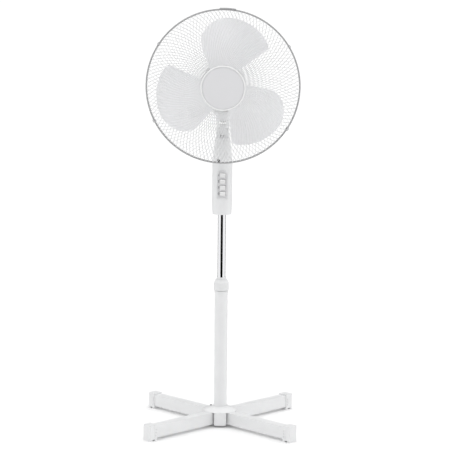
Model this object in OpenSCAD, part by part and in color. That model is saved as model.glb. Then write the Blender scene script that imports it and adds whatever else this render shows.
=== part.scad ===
// Pedestal fan on a cross base, in millimetres.
// The origin is on the floor under the pole, +Z is up and the fan blows towards -Y.

/* [Base] */
// Length of each base bar with its two end caps
base_span = 558; // [520:2:680]
// Width of a base bar
bar_w = 25; // [22:1:27]
// Height of a base bar
bar_h = 33; // [28:1:36]
// Gap between a base bar and the floor
floor_gap = 8; // [6:1:12]
// Radius of the plastic cover over the crossing
cover_r = 47; // [44:1:52]

/* [Pole] */
// Diameter of the fixed outer tube
outer_tube_d = 36; // [34:1:37]
// Diameter of the sliding chrome tube
inner_tube_d = 22; // [20:1:24]
// Height of the outer tube's top edge above the floor
outer_tube_top = 374; // [340:2:400]

/* [Control box] */
// Height of the control box's lower edge at this setting of the pole
box_bottom = 594; // [560:2:620]
// Height of the control box
box_h = 211; // [206:1:225]
// Width of the control box
box_w = 55; // [54:1:62]
// Depth of the control box
box_d = 62; // [60:1:68]
// Distance between one key and the next
key_pitch = 17; // [16:0.5:18]

/* [Head] */
// Height of the motor's axis above the tilt bolt
head_rise = 132; // [130:1:136]
// Outer diameter of the guards
guard_d = 416; // [410:1:440]
// Wires in each guard, of the visible spiral
guard_wires = 40; // [24:4:40]
// Turn of each wire between the centre plate and the rim, in degrees
wire_skew = 26; // [10:1:30]
// Radius that the blades sweep
blade_sweep_r = 184; // [178:1:186]
// Number of blades
blade_count = 3; // [3:1:4]

/* [Hidden] */
$fn = 48;
wall = 2.2;            // moulded shells
fit = 0.06;            // radial running clearance of a shaft in its bush
gap = 0.4;             // clearance between parts that pass each other
bore_over = 1;         // how far a cutter runs past the face it cuts

// base
bar_top = floor_gap + bar_h;
bar_wall = 1.2;
cap_len = 25;
cap_wall = 2;
cap_end = 2.5;
cap_top = bar_top + 3.5;
lap_z = floor_gap + bar_h / 2;
lap_w = bar_w + 0.6;
flange_h = 2.5;
flange_r = 35;
flange_screw_r = 27;
cover_top = bar_top + 11;
cover_foot = 6;
tongue_half_angle = 20.5;

// pole
tube_wall = 1.2;
outer_r = outer_tube_d / 2;
outer_bore_r = outer_r - tube_wall;
inner_r = inner_tube_d / 2;
tube_foot = bar_top + flange_h;
spigot_top = outer_tube_top + 26;
collet_top = outer_tube_top + 43;
spigot_r = outer_r - 2.5;
collet_r = inner_r + 2;
nut_r = 20.5;
glide_bottom = box_bottom - 363;
tube_end = box_bottom + 40;

// control box
box_top = box_bottom + box_h;
box_half_w = box_w / 2;
box_half_d = box_d / 2;
panel_mid = box_bottom + 84.5;
panel_w = 27;
panel_h = 78;
field_w = 22;
field_floor = box_half_d - 1;
key_w = 15.5;
key_h = 11.6;
key_x = 1.4;
key_face = box_half_d + 3.2;
key_travel = 4;
key_zs = [for (i = [1.5:-1:-1.5]) panel_mid + i * key_pitch];
screw_spots = [[-18, box_bottom + 17], [18, box_bottom + 17], [0, box_bottom + 166]];

// neck
tilt_z = box_top + 15;
ear_r = 12;
ear_in = 8;
ear_out = 17;
eye_half = ear_in - 0.3;
bolt_r = 4;
socket_r = 17;
socket_low = tilt_z + 15;
socket_top = tilt_z + 56;
pin_r = 5;
bush_r = 7;
bush_low = tilt_z + 30;
washer_top = socket_top + 1.5;
anchor_x = -20;
post_r = 3;

// motor, measured forwards from the pole's axis along the motor's axis
motor_z = tilt_z + head_rise;
shaft_r = 4;
stack_back = -12;
stack_front = 22;
core_r = 42;
bell_r = 44;
cover_face = 46;
motor_r = 57;
neck_r = 33;

// oscillation gearbox
gear_f = -50;
gear_centres = 20;
wheel_teeth = 32;
wheel_r = 14.7;
tooth = 0.8;
worm_r = 4.6;
worm_pitch = 360 / wheel_teeth * PI / 180 * (gear_centres - worm_r - 0.35);
worm_turns = 4;
pinion_teeth = 9;
crank_teeth = 27;
small_tooth = 0.65;
small_gear_gap = 0.6;
spindle_r = 3;
crank_arm = 13;
pinion_z = motor_z - 30;
crank_z = washer_top + 9.5;
knob_z = motor_z + motor_r + 4;

// guards and blades
guard_r = guard_d / 2 - 2.3;
rim_f = 100;
rim_half = 3;
rim_wire_r = 2.3;
wire_r = 1.1;
rear_depth = 49.5;
front_depth = 51;
plate_r = 58;
cap_r = 60;
guard_turn = -3;
clip_angles = [for (a = [34.5, 150, 210, 330]) a + guard_turn];
clip_w = 7;
clip_bore = rim_wire_r + 0.35;
hub_r = 44.5;
hub_back = 65;
hub_front = 122;
blade_span = 78.5;
blade_start = 39;
blade_rise = 56;
blade_back = 67;
blade_t = 2.2;

// ---------- shared shapes ----------

module tube(r, bore, h) {
    difference() {
        cylinder(r = r, h = h);
        translate([0, 0, -bore_over]) cylinder(r = bore, h = h + 2 * bore_over);
    }
}

// A box given by its lowest and highest corners.
module block(low, high) {
    translate(low) cube(high - low);
}

// Puts local +Z along the motor's axis, f millimetres forwards of the pole, with local +Y up.
module on_motor(f = 0) {
    translate([0, -f, motor_z]) rotate([90, 0, 0]) children();
}

// Puts local +Z along the rear (+Y) direction.
module facing_rear() {
    rotate([-90, 0, 0]) children();
}

// A bar's own frame: +X runs outwards along the arm.
module along_arm(i) {
    rotate([0, 0, -45 - 90 * i]) children();
}

// The corner points of a level rounded rectangle, anticlockwise: half width, half depth,
// radius of the rear corners, radius of the front corners, height.
function level_ring(half_w, half_d, rear, front, z, steps = 12) = [
    for (q = [0:3], k = [0:steps])
        let (a = 90 * (q + k / steps),
             sx = q == 0 || q == 3 ? 1 : -1,
             sy = q < 2 ? 1 : -1,
             r = q < 2 ? rear : front)
        [sx * (half_w - r) + r * cos(a), sy * (half_d - r) + r * sin(a), z]];

// A solid through rings of points, lowest ring first.
module loft(rings) {
    n = len(rings[0]);
    last = len(rings) - 1;
    faces = concat(
        [[for (k = [0:n - 1]) k]],
        [for (i = [0:last - 1], k = [0:n - 1])
            let (m = (k + 1) % n)
            [i * n + k, (i + 1) * n + k, (i + 1) * n + m, i * n + m]],
        [[for (k = [n - 1:-1:0]) last * n + k]]);
    polyhedron(points = [for (ring = rings, p = ring) p], faces = faces);
}

function unit(v) = v / norm(v);

// A round bar along a path, with sides flat faces; across(i) is a side direction at each point.
module swept_wire(path, across, r, sides) {
    last = len(path) - 1;
    points = [for (i = [0:last])
        let (t = unit(path[min(i + 1, last)] - path[max(i - 1, 0)]),
             a = unit(across[i] - (across[i] * t) * t),
             b = cross(t, a))
        for (k = [0:sides - 1]) path[i] + r * (cos(360 * k / sides) * a + sin(360 * k / sides) * b)];
    faces = concat(
        [[for (k = [0:sides - 1]) k]],
        [for (i = [0:last - 1], k = [0:sides - 1])
            let (n = (k + 1) % sides)
            [i * sides + n, i * sides + k, (i + 1) * sides + k, (i + 1) * sides + n]],
        [[for (k = [sides - 1:-1:0]) last * sides + k]]);
    polyhedron(points = points, faces = faces);
}

// A ring of round wire about local Z, with straight steps and sides flat faces.
module wire_ring(r, wire, steps, sides) {
    points = [for (i = [0:steps - 1], k = [0:sides - 1])
        let (a = 360 * i / steps, b = 360 * (k + 0.5) / sides)
        [(r + wire * cos(b)) * cos(a), (r + wire * cos(b)) * sin(a), wire * sin(b)]];
    faces = [for (i = [0:steps - 1], k = [0:sides - 1])
        let (j = (i + 1) % steps, n = (k + 1) % sides)
        [i * sides + k, i * sides + n, j * sides + n, j * sides + k]];
    polyhedron(points = points, faces = faces);
}

// A gear outline with a wavy edge, its first valley (or first crest) on +X.
module gear_2d(r, tooth_h, teeth, start) {
    steps = teeth * 8;
    polygon([for (i = [0:steps - 1])
        let (a = 360 * i / steps)
        (r + tooth_h * start * cos(teeth * a)) * [cos(a), sin(a)]]);
}

// ---------- base ----------

module bar_profile() {
    difference() {
        half = base_span / 2 - cap_end;
        block([-half, -bar_w / 2, floor_gap], [half, bar_w / 2, bar_top]);
        block([-half - 1, -bar_w / 2 + bar_wall, floor_gap + bar_wall],
            [half + 1, bar_w / 2 - bar_wall, bar_top - bar_wall]);
        for (s = [-1, 1])
            translate([s * flange_screw_r, 0, bar_top - 4]) cylinder(r = 2.6, h = 6);
    }
}

module lower_bar() {
    color("whitesmoke") rotate([0, 0, 45]) difference() {
        bar_profile();
        block([-lap_w / 2, -bar_w, lap_z], [lap_w / 2, bar_w, bar_top + 1]);
    }
}

module upper_bar() {
    color("whitesmoke") rotate([0, 0, -45]) difference() {
        bar_profile();
        block([-lap_w / 2, -bar_w, floor_gap - 1], [lap_w / 2, bar_w, lap_z]);
    }
}

module foot_cap(i) {
    out = base_span / 2;
    in = out - cap_len;
    half = bar_w / 2 + cap_wall;
    corner = 2.5;
    color("white") along_arm(i) difference() {
        union() {
            block([in, -half, 0], [out - corner, half, cap_top]);
            block([in, -half + corner, 0], [out, half - corner, cap_top]);
            for (s = [-1, 1])
                translate([out - corner, s * (half - corner), 0]) cylinder(r = corner, h = cap_top);
        }
        block([in - 1, -bar_w / 2 - 0.05, floor_gap - 0.05], [out - cap_end, bar_w / 2 + 0.05, bar_top + 0.05]);
        // the arch between the two foot pads
        block([in + 8, -half - 1, -1], [out - 8, half + 1, 4]);
        // three square holes in each side, and a groove beside them
        for (z = [14, 22, 30])
            block([in + 3, -half - 1, z - 1.6], [in + 6.2, half + 1, z + 1.6]);
        for (s = [-1, 1])
            block([in + 10, s * half - 0.6, floor_gap], [in + 11.2, s * half + 0.6, cap_top + 1]);
    }
}

module pole_flange() {
    color("silver") difference() {
        union() {
            translate([0, 0, bar_top]) cylinder(r = flange_r, h = flange_h);
            translate([0, 0, tube_foot]) tube(outer_bore_r, outer_bore_r - 2, 28);
        }
        for (i = [0:3])
            along_arm(i) translate([flange_screw_r, 0, bar_top - 1]) cylinder(r = 2.6, h = flange_h + 2);
    }
}

module flange_screws() {
    color("dimgray") for (i = [0:3])
        along_arm(i) translate([flange_screw_r, 0, 0]) {
            translate([0, 0, bar_top - 6]) cylinder(r = 2.4, h = 6 + flange_h);
            translate([0, 0, tube_foot]) cylinder(r = 4, h = 1.6);
        }
}

module base_cover() {
    skin = 2;
    rim_z = bar_top + 0.6;
    neck_hole = outer_r + 0.4;
    neck_lip = outer_r + 4;
    color("white") difference() {
        rotate_extrude() polygon([[cover_r - skin, cover_foot], [cover_r, cover_foot], [cover_r, rim_z],
            [cover_r - 4, rim_z + 3], [neck_lip + 2, cover_top - 1], [neck_lip, cover_top + 2],
            [neck_hole, cover_top + 2], [neck_hole, cover_top - skin - 0.5],
            [cover_r - 6, rim_z + 0.6], [cover_r - skin, rim_z - 1]]);
        slot_half = cover_r * sin(45 - tongue_half_angle);
        for (i = [0:3])
            along_arm(i) block([cover_r - 12, -slot_half, cover_foot - 1], [cover_r + 2, slot_half, bar_top + 0.25]);
        along_arm(2) translate([cover_r - 10, 0, bar_top]) {
            cylinder(r = 1.7, h = 12);
            translate([0, 0, 5.6]) cylinder(r = 3.3, h = 8);
        }
    }
}

module cover_screw() {
    color("dimgray") along_arm(2) translate([cover_r - 10, 0, bar_top]) {
        cylinder(r = 1.5, h = 5.6);
        translate([0, 0, 5.6]) cylinder(r = 3, h = 1.8);
    }
}

// ---------- pole ----------

module outer_tube() {
    color("white") translate([0, 0, tube_foot]) tube(outer_r, outer_bore_r, outer_tube_top - tube_foot);
}

module collar_bush() {
    bore = inner_r + fit;
    color("white") rotate_extrude() polygon([[bore, outer_tube_top - 34], [outer_bore_r, outer_tube_top - 34],
        [outer_bore_r, outer_tube_top], [outer_r + 0.8, outer_tube_top], [outer_r + 0.8, outer_tube_top + 5],
        [spigot_r, outer_tube_top + 5], [spigot_r, spigot_top], [collet_r, spigot_top + 3],
        [collet_r, collet_top - 1], [collet_r - 0.8, collet_top], [bore, collet_top]]);
}

module height_nut() {
    low = outer_tube_top + 6.5;
    ribs = 24;
    color("white") difference() {
        union() {
            rotate_extrude() polygon([[spigot_r + gap, low], [nut_r, low], [nut_r, low + 22],
                [nut_r - 1.5, low + 24], [collet_r + 3, low + 30], [collet_r + gap, low + 30],
                [collet_r + gap, low + 24], [spigot_r + gap, low + 21]]);
        }
        // grip flutes round the ring
        for (i = [0:ribs - 1])
            rotate([0, 0, i * 360 / ribs]) translate([nut_r + 0.9, 0, low + 3])
                cylinder(r = 1.6, h = 16, $fn = 24);
    }
}

module inner_tube() {
    color("silver") translate([0, 0, glide_bottom + 4])
        tube(inner_r, inner_r - 1, tube_end - glide_bottom - 4);
}

module glide_bush() {
    color("white") translate([0, 0, glide_bottom]) difference() {
        cylinder(r = outer_bore_r - 0.35, h = 30);
        translate([0, 0, 4]) cylinder(r = inner_r, h = 30);
        translate([0, 0, -1]) cylinder(r = inner_r - 2, h = 10);
    }
}

// ---------- control box ----------

// The box's outside, or its inside at a given inset; its front is rounder than its back.
module box_body(inset) {
    function section(half_w, half_d, z) =
        level_ring(half_w - inset, half_d - inset, 14 - inset, half_w - 1.5 - inset, z);
    loft([
        section(box_half_w - 1.5, box_half_d - 2, box_bottom + inset),
        section(box_half_w, box_half_d, box_bottom + 30),
        section(box_half_w, box_half_d, box_top - 62),
        section(box_half_w - 2.5, box_half_d - 3, box_top - 36),
        section(19.6, 21, box_top - inset)]);
}

module box_shell(side) {
    low = side < 0 ? -50 : 0.15;
    high = side < 0 ? -0.15 : 50;
    intersection() {
        difference() {
            box_body(0);
            box_body(wall);
        }
        block([-50, low, box_bottom - 1], [50, high, box_top + 1]);
    }
}

// The bosses round the closing screws, kept inside the shell and inside the child shape.
module screw_bosses(r) {
    intersection() {
        for (p = screw_spots)
            translate([p[0], -box_half_d, p[1]]) facing_rear() cylinder(r = r, h = box_d);
        box_body(1);
        children();
    }
}

// The arch-topped opening for the keys, as a 2D outline standing in the XZ plane.
module arch_2d(w, h) {
    translate([-w / 2, -h / 2]) square([w, h - w / 2]);
    translate([0, h / 2 - w / 2]) circle(r = w / 2);
}

module arch(w, h, front, back) {
    translate([0, -back, panel_mid]) rotate([90, 0, 0]) linear_extrude(front - back) arch_2d(w, h);
}

module control_front() {
    color("white") difference() {
        union() {
            box_shell(-1);
            // the flat frame round the key panel
            arch(panel_w + 3.4, panel_h + 3.4, box_half_d + 0.3, box_half_d - 7.5);
            screw_bosses(3.4) block([-50, -50, box_bottom], [50, -0.15, box_top]);
        }
        arch(panel_w + 0.4, panel_h + 0.4, box_half_d + 5, box_half_d - 8);
        for (p = screw_spots)
            translate([p[0], 1, p[1]]) rotate([90, 0, 0]) cylinder(r = 1.5, h = 10);
        translate([0, 0, box_bottom - 5]) cylinder(r = inner_r + 0.1, h = 20);
        translate([0, 0, box_top - 20]) cylinder(r = 17.05, h = 30);
    }
}

module control_rear() {
    color("white") difference() {
        union() {
            box_shell(1);
            screw_bosses(4.6) block([-50, 0.15, box_bottom], [50, 50, box_top]);
            // socket that grips the chrome tube
            translate([0, 0, box_bottom + 4]) tube(inner_r + 2.6, inner_r, 34);
            block([-1, inner_r + 1, box_bottom + 4], [1, box_half_d - 3, box_bottom + 38]);
        }
        for (p = screw_spots) {
            translate([p[0], -1, p[1]]) facing_rear() cylinder(r = 1.7, h = 60);
            translate([p[0], box_half_d - 7, p[1]]) facing_rear() cylinder(r = 3.4, h = 20);
        }
        translate([0, 0, box_bottom - 5]) cylinder(r = inner_r + 0.1, h = 20);
        translate([0, 0, box_top - 20]) cylinder(r = 17.05, h = 30);
        translate([0, box_half_d - 10, box_bottom + 62]) facing_rear() cylinder(r = 6.05, h = 20);
    }
}

module control_screws() {
    color("dimgray") for (p = screw_spots)
        translate([p[0], -8, p[1]]) facing_rear() {
            cylinder(r = 1.5, h = box_half_d + 1);
            translate([0, 0, box_half_d + 1]) cylinder(r = 3, h = 2);
        }
}

module button_panel() {
    back = box_half_d - 3.5;
    color("white") difference() {
        arch(panel_w, panel_h, box_half_d + 0.8, back);
        arch(field_w, panel_h - 6, box_half_d + 3, field_floor);
        for (z = key_zs)
            block([key_x - key_w / 2 - 0.6, -40, z - key_h / 2 - 0.6],
                [key_x + key_w / 2 + 0.6, 0, z + key_h / 2 + 0.6]);
    }
}

// A push key: cap, the flange that keeps it behind the panel, and the stem.
module key(z) {
    back = box_half_d - 3.5;
    color("white") difference() {
        union() {
            block([key_x - key_w / 2, -key_face, z - key_h / 2], [key_x + key_w / 2, -back + 1, z + key_h / 2]);
            block([key_x - key_w / 2 - 1.2, -back + 0.3, z - key_h / 2 - 1.2],
                [key_x + key_w / 2 + 1.2, -back + 2.3, z + key_h / 2 + 1.2]);
            block([-4, -back + 2, z - 3], [4, -back + 5, z + 3]);
        }
        // finger dish
        translate([0, -key_face - 21, z]) rotate([0, 90, 0]) cylinder(r = 22, h = 60, center = true);
    }
}

module key_off() { key(key_zs[3]); }
module key_low() { key(key_zs[0]); }
module key_medium() { key(key_zs[1]); }
module key_high() { key(key_zs[2]); }

module switch_block() {
    front = box_half_d - 3.5 - 5 - key_travel - 0.8;
    color("dimgray") {
        block([-9, -front, panel_mid - 36], [9, -front + 13, panel_mid + 36]);
        for (i = [-2:2])
            block([-1, -front + 12, panel_mid + i * 14 - 2], [1, -front + 19, panel_mid + i * 14 + 2]);
    }
}

module run_capacitor() {
    color("gainsboro") {
        block([-19, 8, box_bottom + 118], [19, 24, box_bottom + 144]);
        for (s = [-1, 1])
            translate([s * 8, 16, box_bottom + 110]) cylinder(r = 1, h = 9, $fn = 16);
    }
}

module cord_gland() {
    at = box_bottom + 62;
    color("white") translate([0, box_half_d - 4, at]) facing_rear() difference() {
        union() {
            cylinder(r = 6, h = 5);
            translate([0, 0, 4.1]) cylinder(r = 8, h = 3);
            cylinder(r = 8, h = 1.7);
        }
        translate([0, 0, -1]) cylinder(r = 3.6, h = 12);
    }
}

// ---------- neck ----------

module tilt_fork() {
    plug_low = box_top - 40;
    color("white") difference() {
        union() {
            translate([0, 0, plug_low]) cylinder(r = 17, h = tilt_z - ear_r - 2 - plug_low);
            for (s = [-1, 1])
                translate([s > 0 ? ear_in : -ear_out, 0, 0]) {
                    translate([0, 0, tilt_z]) rotate([0, 90, 0]) cylinder(r = ear_r, h = ear_out - ear_in);
                    block([0, -ear_r, tilt_z - ear_r - 2.7], [ear_out - ear_in, ear_r, tilt_z]);
                }
        }
        translate([-30, 0, tilt_z]) rotate([0, 90, 0]) cylinder(r = bolt_r, h = 60);
        // seats for the bolt's head and its nut
        for (x = [-ear_out - 1, ear_out - 4])
            translate([x, 0, tilt_z]) rotate([0, 90, 0]) cylinder(r = 7, h = 5);
        translate([0, 0, plug_low - 1]) cylinder(r = 13.5, h = 26);
    }
}

module tilt_bolt() {
    color("dimgray") translate([-ear_out + 0.5, 0, tilt_z]) rotate([0, 90, 0]) {
        cylinder(r = 6.5, h = 3.5, $fn = 6);
        cylinder(r = bolt_r, h = 2 * ear_out - 1.5);
    }
}

module tilt_nut() {
    color("dimgray") translate([ear_out - 4, 0, tilt_z]) rotate([0, 90, 0]) difference() {
        cylinder(r = 6.5, h = 2.8, $fn = 6);
        translate([0, 0, -1]) cylinder(r = bolt_r, h = 6);
    }
}

module tilt_knuckle() {
    color("white") difference() {
        union() {
            translate([0, 0, tilt_z]) rotate([0, 90, 0]) cylinder(r = ear_r, h = 2 * eye_half, center = true);
            block([-eye_half, -ear_r, tilt_z], [eye_half, ear_r, socket_low + 1]);
            translate([0, 0, socket_low]) cylinder(r = socket_r, h = socket_top - socket_low);
            // the lug that holds the oscillation link
            block([anchor_x, -5, socket_top - 7], [0, 5, socket_top]);
            translate([anchor_x, 0, socket_top - 7]) cylinder(r = 5, h = 7);
        }
        translate([-20, 0, tilt_z]) rotate([0, 90, 0]) cylinder(r = bolt_r + fit, h = 40);
        translate([0, 0, bush_low - 1]) cylinder(r = bush_r, h = 40);
        // window under the bush, for the retaining clip
        block([-9.5, -30, bush_low - 10], [9.5, 30, bush_low]);
        translate([anchor_x, 0, socket_top - 6]) cylinder(r = post_r + fit, h = 10);
    }
}

module swivel_bush() {
    color("goldenrod") translate([0, 0, bush_low]) tube(bush_r, pin_r + fit, socket_top - bush_low);
}

module thrust_washer() {
    color("ivory") translate([0, 0, socket_top]) tube(14, 7.5, washer_top - socket_top);
}

module swivel_base() {
    shoulder_low = washer_top + 0.2;
    plate_low = motor_z - 52;
    plate_top = plate_low + 6;
    color("silver") difference() {
        union() {
            translate([0, 0, bush_low - 4]) cylinder(r = pin_r, h = plate_low - bush_low + 5);
            translate([0, 0, plate_low - 18.5]) cylinder(r = 6.5, h = 19);
            translate([0, 0, plate_low - 14]) cylinder(r = 12, h = 15);
            block([-16, -38, plate_low], [16, 28, plate_top]);
            for (y = [-38, 14])
                block([-16, y, plate_low], [16, y + 12, plate_top + 6]);
        }
        on_motor(-100) cylinder(r = bell_r, h = 200);
        translate([0, 0, bush_low - 3.2]) tube(pin_r + 1, pin_r - 1, 1.6);
    }
}

module swivel_clip() {
    color("dimgray") translate([0, 0, bush_low - 3.1]) difference() {
        tube(8, pin_r - 0.9, 1.4);
        block([-1.5, -10, -1], [1.5, 0, 3]);
    }
}

// ---------- motor ----------

module end_bell(outer_face, inner_face) {
    low = min(outer_face, inner_face);
    high = max(outer_face, inner_face);
    plate = 3;
    inward = inner_face > outer_face ? 1 : -1;
    floor_f = outer_face + (inward > 0 ? 0 : -plate);
    difference() {
        union() {
            on_motor(low) tube(bell_r, bell_r - 3, high - low);
            on_motor(floor_f) cylinder(r = bell_r, h = plate);
            on_motor(outer_face + (inward > 0 ? 0 : -9)) cylinder(r = 12, h = 9);
        }
        on_motor(low - 5) cylinder(r = 9, h = high - low + 10);
        // cooling openings
        for (a = [0:60:300])
            on_motor(floor_f - 1) rotate([0, 0, a]) translate([26, 0, 0]) cylinder(r = 6, h = plate + 2);
    }
}

// Holes for the two screws of the front cover.
module cover_screw_holes() {
    for (x = [-38, 38])
        on_motor(30) translate([x, 0, 0]) cylinder(r = 1.55, h = 25);
}

module front_end_bell() {
    color("silver") difference() {
        end_bell(40, stack_front);
        cover_screw_holes();
    }
}

module rear_end_bell() {
    color("silver") end_bell(-31, stack_back);
}

module shaft_bushes() {
    color("goldenrod") for (f = [-31, 31])
        on_motor(f) tube(9, shaft_r + fit, 9);
}

module stator_core() {
    teeth = 16;
    color("gray") on_motor(stack_back) difference() {
        cylinder(r = core_r - 1.5, h = stack_front - stack_back);
        translate([0, 0, -1]) cylinder(r = 22.4, h = 60);
        for (i = [0:teeth - 1])
            rotate([0, 0, i * 360 / teeth]) translate([29, 0, -1]) cylinder(r = 3.6, h = 60, $fn = 24);
    }
}

module stator_windings() {
    teeth = 16;
    color("darkgoldenrod") {
        for (f = [stack_back - 9, stack_front + 0.1])
            on_motor(f) rotate_extrude() translate([24.5, 0]) square([10, 8.9]);
        for (i = [0:teeth - 1])
            on_motor(stack_back - 1) rotate([0, 0, i * 360 / teeth]) translate([29, 0, 0])
                cylinder(r = 3.3, h = stack_front - stack_back + 2, $fn = 24);
    }
}

module motor_front_cover() {
    plate = 2;
    color("white") difference() {
        union() {
            on_motor(24) tube(motor_r, motor_r - wall, cover_face - 24);
            on_motor(cover_face - plate) cylinder(r = motor_r, h = plate);
            on_motor(cover_face - plate) cylinder(r = neck_r, h = 14);
        }
        on_motor(20) cylinder(r = neck_r - 3, h = 60);
        // vent slots round the face
        for (a = [7.5:15:352.5])
            on_motor(cover_face - 5) rotate([0, 0, a]) block([39, -1.6, 0], [53, 1.6, 10]);
        cover_screw_holes();
    }
}

// Half outline of the rear cover, [radius, forwards], from its open front edge to its closed back.
function cover_outline(r, back, skin) = concat(
    [[r - skin, 23.7]],
    [for (a = [0:9:90]) [(r - skin) * cos(a), -46 - (back - skin) * sin(a)]]);

// The skirt under the motor, round the pivot and the crank, flat at the front.
module shroud(inset, low, high) {
    intersection() {
        hull() {
            translate([0, 0, low]) cylinder(r = 29 - inset, h = high - low, $fn = 32);
            translate([0, -gear_f, low]) cylinder(r = 21 - inset, h = high - low, $fn = 32);
        }
        block([-60, -22 + inset, low], [60, 120, high]);
    }
}

module motor_rear_cover() {
    outer = cover_outline(motor_r, 50, 0);
    inner = cover_outline(motor_r, 50, wall);
    shroud_low = washer_top + 2;
    shroud_top = motor_z - 40;
    color("white") difference() {
        union() {
            on_motor() rotate_extrude() polygon(concat(outer, [[0, 23.7]]));
            shroud(0, shroud_low, shroud_top);
            // flat boss under the clutch knob
            translate([gear_centres, -gear_f, motor_z + 40]) cylinder(r = 13, h = motor_r - 38);
        }
        on_motor() rotate_extrude() polygon(concat(inner, [[0, 26]], [[motor_r - wall, 26]]));
        shroud(2, shroud_low - 1, shroud_top + 1);
        translate([gear_centres, -gear_f, motor_z]) cylinder(r = 6.6, h = motor_r + 20);
        // cooling slots at the back
        for (i = [-3:3])
            block([-30 + abs(i) * 3, 80, motor_z + i * 8 - 1.5], [30 - abs(i) * 3, 110, motor_z + i * 8 + 1.5]);
    }
}

module cover_screws() {
    color("dimgray") for (x = [-38, 38])
        on_motor(cover_face) translate([x, 0, 0]) {
            cylinder(r = 3, h = 1.6);
            translate([0, 0, -9]) cylinder(r = 1.5, h = 9);
        }
}

// ---------- oscillation gearbox ----------

module gearbox_hollow(inset) {
    back = -gear_f + 18;
    block([-10 + inset, 32 + inset, motor_z - 15], [39.5 - inset, back - inset, motor_z + 15 - inset]);
    block([-19 + inset, 32 + inset, motor_z - 39 + inset], [29 - inset, back - inset, motor_z - 13]);
}

module gearbox_case() {
    color("ivory") difference() {
        gearbox_hollow(0);
        gearbox_hollow(2);
        on_motor(-40) cylinder(r = 6.5, h = 20);
        translate([gear_centres, -gear_f, motor_z]) cylinder(r = spindle_r + fit, h = 40);
        translate([0, -gear_f, motor_z - 50]) cylinder(r = 4 + fit, h = 20);
    }
}

module worm_wheel() {
    color("ivory") translate([gear_centres, -gear_f, 0]) {
        translate([0, 0, motor_z - 36.5]) cylinder(r = spindle_r, h = 36.5 + motor_r - 2);
        translate([0, 0, motor_z - 2]) linear_extrude(4)
            rotate(180) gear_2d(wheel_r, tooth, wheel_teeth, -1);
        translate([0, 0, pinion_z]) linear_extrude(7)
            rotate(180) gear_2d(gear_centres / 4 - small_gear_gap / 2, small_tooth, pinion_teeth, 1);
    }
}

module clutch_knob() {
    color("white") translate([gear_centres, -gear_f, 0]) difference() {
        union() {
            translate([0, 0, knob_z]) cylinder(r = 10, h = 11);
            translate([0, 0, knob_z - 24]) cylinder(r = 5.8, h = 25);
        }
        translate([0, 0, knob_z - 30]) cylinder(r = spindle_r + fit, h = 30);
        translate([0, 0, knob_z + 9.5]) tube(7.5, 6, 3);
    }
}

module crank_gear() {
    color("ivory") translate([0, -gear_f, 0]) {
        translate([0, 0, pinion_z]) linear_extrude(7)
            gear_2d(gear_centres * 0.75 - small_gear_gap / 2, small_tooth, crank_teeth, -1);
        translate([0, 0, crank_z]) cylinder(r = 4, h = pinion_z - crank_z + 1);
        translate([0, 0, crank_z]) cylinder(r = 17, h = 4);
        translate([0, -crank_arm, crank_z - 4.8]) cylinder(r = 3, h = 5);
    }
}

module crank_link() {
    low = washer_top + 1;
    thick = 3;
    reach = norm([anchor_x, -gear_f]);
    color("silver") translate([anchor_x, 0, 0]) {
        translate([0, 0, low]) cylinder(r = 4.5, h = thick);
        translate([0, 0, socket_top - 5]) cylinder(r = post_r, h = low - socket_top + 6);
        rotate([0, 0, atan2(-gear_f, -anchor_x)]) {
            block([0, -3.5, low], [reach - crank_arm, 3.5, low + thick]);
            translate([reach - crank_arm, 0, low]) cylinder(r = 4.5, h = thick);
        }
    }
}

// ---------- guards ----------

// How far a guard stands out from its rim at a given radius.
function guard_dome(r, depth) = depth * pow(max(0, 1 - pow(r / guard_r, 6)), 0.45);

// The wires of one guard, in the motor's frame: side is +1 for the front guard, -1 for the rear.
module guard_cage(side, depth, steps) {
    inner = 50;
    for (i = [0:guard_wires - 1]) {
        ts = [for (j = [0:steps]) 1 - pow(1 - j / steps, 2)];
        as = [for (t = ts) guard_turn + (i + 0.5) * 360 / guard_wires + side * wire_skew * (1 - t)];
        path = [for (j = [0:steps])
            let (r = inner + (guard_r - inner) * ts[j])
            [r * cos(as[j]), r * sin(as[j]), rim_f + side * (rim_half + guard_dome(r, depth))]];
        swept_wire(path, [for (a = as) [-sin(a), cos(a), 0]], wire_r, 5);
    }
    translate([0, 0, rim_f + side * rim_half]) wire_ring(guard_r, rim_wire_r, 72, 8);
    // pressed ribs on the centre plate
    plate_f = rim_f + side * (rim_half + depth);
    for (i = [0:7])
        rotate([0, 0, guard_turn + i * 45 + 22.5]) hull()
            for (r = [50, 53])
                translate([r, 0, plate_f - 1.4]) cylinder(r = 2.5, h = 2.8, $fn = 16);
}

module rear_guard() {
    plate_f = rim_f - rim_half - rear_depth;
    color("whitesmoke") on_motor() {
        guard_cage(-1, rear_depth, 7);
        translate([0, 0, plate_f - 0.8]) difference() {
            cylinder(r = plate_r - 4, h = 1.6);
            translate([0, 0, -1]) cylinder(r = neck_r + 0.5, h = 4);
            for (x = [-38, 38])
                translate([x, 0, -1]) cylinder(r = 4, h = 4);
        }
        screw_lug(rim_f - rim_half - 0.7);
    }
}

// The lug at the bottom of a rim for the closing screw.
module screw_lug(f) {
    rotate([0, 0, 270 + guard_turn]) translate([guard_r - 6.5, 0, f]) difference() {
        hull() {
            cylinder(r = 4.5, h = 1.4, $fn = 24);
            translate([4.5, 0, 0.7]) cube([2, 9, 1.4], center = true);
        }
        translate([0, 0, -1]) cylinder(r = 2, h = 4, $fn = 24);
    }
}

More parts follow.
